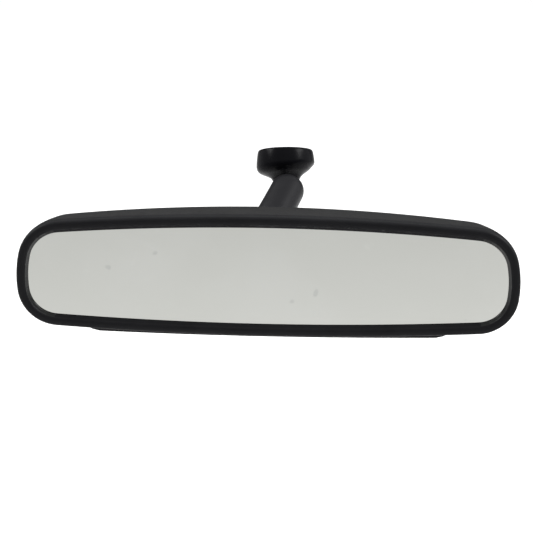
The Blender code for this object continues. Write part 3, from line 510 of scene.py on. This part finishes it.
def make_casing():
    # (depth, inset, inset of the ends, share of the ledge)
    table = [
        (6.3, 0.6, 0.0, 1.0),
        (9.4, 0.6, 0.3, 1.0),
        (13.0, 0.6, 1.8, 1.0),
        (17.0, 0.8, 3.4, 1.0),
        (20.5, 1.1, 5.0, 0.7),
        (23.5, 1.9, 7.2, 0.3),
        (25.6, 4.2, 9.5, 0.0),
        (26.7, 8.0, 11.0, 0.0),
        (CASING_DEPTH, 13.0, 12.0, 0.0),
    ]
    # Smoothing takes the ledge's share a little below 0.
    outer = [head_section(i, y, e, max(c, 0.0), casing_bow(y)) for y, i, e, c in smoothed(table, 4)]
    obj = loft("casing_shell", outer, HEAD, strips=True)
    w = CASING_WALL
    hollow = [head_section(0.6 + w, 4.8, 0.0, 1.0)]
    hollow += [head_section(i + w, y, e, c, casing_bow(y)) for y, i, e, c in table[1:6]]
    hollow += [head_section(4.2 + w, CASING_DEPTH - w, 9.5, 0.0, CASING_BOW)]
    carve(obj, loft("hollow", hollow, HEAD, strips=True))
    neck_z = LOWER_BALL_Z - NECK_REACH * math.sin(math.radians(NECK_LEAN))
    neck = HEAD @ frame_along((MECH_X, 0, neck_z), (0, 1, 0))
    carve(obj, turned("neck", [(0, 20), (NECK_R, 20), (NECK_R, 30), (0, 30)], neck, steps=64))
    slot_low = (MECH_X - SLOT_HALF_WIDTH, SLOT_FRONT, SLOT_BOTTOM)
    slot_high = (MECH_X + SLOT_HALF_WIDTH, SLOT_BACK, SLOT_TOP)
    carve(obj, block("slot", slot_low, slot_high, HEAD))
    sharp_by_angle(obj, 35)
    finish(obj, "head", "satin_black", "rear_casing", casing_skin)


# ---- Stem and foot ----


def make_stem():
    """Tube with a domed mouth round each ball."""
    at = frame_along(UPPER_BALL, LOWER_BALL - UPPER_BALL)
    length = (LOWER_BALL - UPPER_BALL).length
    upper, lower = UPPER_TUBE_R - TUBE_LIP_WALL, LOWER_TUBE_R - TUBE_LIP_WALL
    upper_bore = 180 - math.degrees(math.asin(BORE_R / upper))
    lower_bore = 180 - math.degrees(math.asin(BORE_R / lower))
    rim_r, rim = UPPER_TUBE_R - TUBE_LIP_CHAMFER, MOUTH_ANGLE + 0.4
    profile = [(r, -z) for r, z in arc(rim_r, 0, rim, rim + 0.2, 2)]
    profile += [(r, -z) for r, z in arc(UPPER_TUBE_R, 0, MOUTH_ANGLE + 2.5, 90, 16)]
    profile += [(r, length + z) for r, z in arc(LOWER_TUBE_R, 0, 90, MOUTH_ANGLE + 2.5, 16)]
    profile += [(r, length + z) for r, z in arc(lower, 0, MOUTH_ANGLE, lower_bore, 14)]
    profile += [(r, -z) for r, z in arc(upper, 0, upper_bore, MOUTH_ANGLE, 14)]
    obj = turned("stem_tube", profile, at, closed=True)
    sharp_by_angle(obj, 40)
    finish(obj, "arm", "satin_black", "arm_tube", stem_skin)


def foot_frame():
    tilt = Matrix.Rotation(math.radians(-FOOT_SIDE_TILT), 4, "Y")
    return tilt @ Matrix.Rotation(math.radians(-WINDSHIELD_RAKE), 4, "X")


def make_bell():
    """Bell whose wide end sits on the windshield; its shoulder is slightly askew."""
    # (depth, share of the foot's radius, share of the skew)
    table = [
        (0.0, 0.934, 0.0),
        (0.12, 0.955, 0.0),
        (0.45, 0.978, 0.0),
        (1.0, 0.994, 0.0),
        (1.8, 1.006, 0.05),
        (2.8, 1.018, 0.11),
        (4.0, 1.029, 0.19),
        (5.3, 1.038, 0.36),
        (6.6, 1.045, 0.56),
        (7.5, 1.048, 0.68),
        (8.3, 1.041, 0.8),
        (9.1, 1.020, 0.9),
        (9.9, 0.980, 0.95),
        (10.8, 0.914, 0.88),
        (11.8, 0.822, 0.66),
        (12.6, 0.722, 0.5),
        (13.4, 0.632, 0.38),
        (14.2, 0.56, 0.19),
        (15.2, 0.507, 0.0),
        (16.3, 0.459, 0.0),
        (17.0, 0.384, 0.0),
        (17.3, 0.247, 0.0),
    ]
    rings = []
    for depth, share, skew in smoothed(table, 3):
        ring = []
        for i in range(ROUND_STEPS):
            a = 2 * math.pi * i / ROUND_STEPS
            side, radius = math.cos(a), FOOT_R * share
            z = SHOULDER_SKEW * skew * side - depth
            ring.append(Vector((radius * side, radius * math.sin(a), z)))
        rings.append(ring)
    at = foot_frame()
    obj = loft("foot_shell", rings, at)
    socket = [(0, -SOCKET_DEPTH), (SOCKET_R, -SOCKET_DEPTH), (SOCKET_R, 2), (0, 2)]
    carve(obj, turned("socket", socket, at))
    root = at @ Vector((0, 0, -STUD_AXIS_DEPTH))
    stud = frame_along(UPPER_BALL, root - UPPER_BALL)
    bore = [(0, 8), (STUD_BORE_R, 8), (STUD_BORE_R, 17.5), (0, 17.5)]
    carve(obj, turned("stud_bore", bore, stud, steps=48))
    bore = [(0, -9), (SCREW_BORE_R, -9), (SCREW_BORE_R, -2), (0, -2)]
    carve(obj, turned("screw_bore", bore, at, steps=32))
    sharp_by_angle(obj, 35)
    finish(obj, "foot", "gloss_black", "foot_bell", gloss)


make_bezel()
make_glass()
make_casing()
make_stem()
make_bell()

# The other nodes keep the CAD's shape. One that isn't listed is nylon (liners, cups) or steel.
FINISH = {
    "day_night_lever": satin,
    "backing_film": backing,
    "pivot_frame": nylon,
    "bumper_left": rubber,
    "bumper_right": rubber,
}
for node_name, node in NODES.items():
    nylon_piece = node_name.endswith(("liner", "cup"))
    mat = FINISH.get(node_name, nylon if nylon_piece else steel)
    node.data.materials.clear()
    node.data.materials.append(mat)


# ---- Floor, light and camera, in metres ----

FLOOR_HALF = 12.0
FLOOR_Z = -0.45
WORLD_STRENGTH = 0.12


def plane(name, half, z, mat):
    mesh = bpy.data.meshes.new(name)
    corners = [(-half, -half, z), (half, -half, z), (half, half, z), (-half, half, z)]
    mesh.from_pydata(corners, [], [(0, 1, 2, 3)])
    mesh.materials.append(mat)
    obj = bpy.data.objects.new(name, mesh)
    bpy.context.scene.collection.objects.link(obj)
    return obj


floor_mat, _, floor_shader = new_material("pale_floor")
floor_shader.inputs["Base Color"].default_value = (0.92, 0.92, 0.92, 1.0)
floor_shader.inputs["Roughness"].default_value = 0.9
floor_shader.inputs["Specular IOR Level"].default_value = 0.0
floor = plane("floor", FLOOR_HALF, FLOOR_Z, floor_mat)


scene = bpy.context.scene
scene.view_settings.view_transform = "Standard"
world = bpy.data.worlds.new("studio")
scene.world = world
world.use_nodes = True
background = world.node_tree.nodes["Background"]
background.inputs["Color"].default_value = (1.0, 1.0, 1.0, 1.0)
background.inputs["Strength"].default_value = WORLD_STRENGTH


def softbox(name, place, aim, size, power):
    light = bpy.data.lights.new(name, "AREA")
    light.shape = "RECTANGLE"
    light.size, light.size_y = size
    light.energy = power
    obj = bpy.data.objects.new(name, light)
    obj.location = place
    obj.rotation_mode = "QUATERNION"
    obj.rotation_quaternion = (Vector(aim) - Vector(place)).to_track_quat("-Z", "Y")
    bpy.context.scene.collection.objects.link(obj)


# The top light is a white ceiling; the others light the head's ends and sides.
softbox("top", (0.0, 0.4, 2.4), (0, 0.4, 0), (9.0, 9.0), 290)
softbox("left_spot", (-1.15, -0.02, 0.80), (0, 0, 0), (0.7, 0.42), 21.0)
softbox("right_spot", (1.10, -0.14, 0.88), (0, 0, 0), (0.7, 0.42), 25.0)
softbox("left_panel", (-1.7, 0.5, 0.25), (0, 0, 0), (1.6, 1.2), 7.0)
softbox("right_panel", (1.6, 0.3, 0.3), (0, 0, 0), (1.6, 1.2), 11.0)

# Fitted to the photo: angles in degrees, the aim as an offset from the face's centre.
ELEVATION = 19.264
AZIMUTH = 1.987
ROLL = 0.547
DISTANCE = 1.2
AIM_RIGHT = -0.00049
AIM_UP = 0.00559
SENSOR_WIDTH = 36.0
LENS = 164.04


def make_camera():
    e, a, roll = math.radians(ELEVATION), math.radians(AZIMUTH), math.radians(ROLL)
    right = Vector((math.cos(a), math.sin(a), 0))
    forward = Vector((-math.sin(a) * math.cos(e), math.cos(a) * math.cos(e), -math.sin(e)))
    up = right.cross(forward)
    place = FACE_CENTRE * MM - forward * DISTANCE
    cam_right = right * math.cos(roll) + up * math.sin(roll)
    cam_up = up * math.cos(roll) - right * math.sin(roll)
    look = (FACE_CENTRE * MM + cam_right * AIM_RIGHT + cam_up * AIM_UP - place).normalized()
    cam_right = look.cross(cam_up).normalized()
    cam_up = cam_right.cross(look)
    data = bpy.data.cameras.new("camera")
    data.sensor_width = SENSOR_WIDTH
    data.lens = LENS
    data.clip_start = 0.01
    data.clip_end = 100.0
    camera = bpy.data.objects.new("camera", data)
    basis = Matrix((cam_right, cam_up, -look)).transposed().to_4x4()
    basis.translation = place
    camera.matrix_world = basis
    scene.collection.objects.link(camera)
    scene.camera = camera


make_camera()
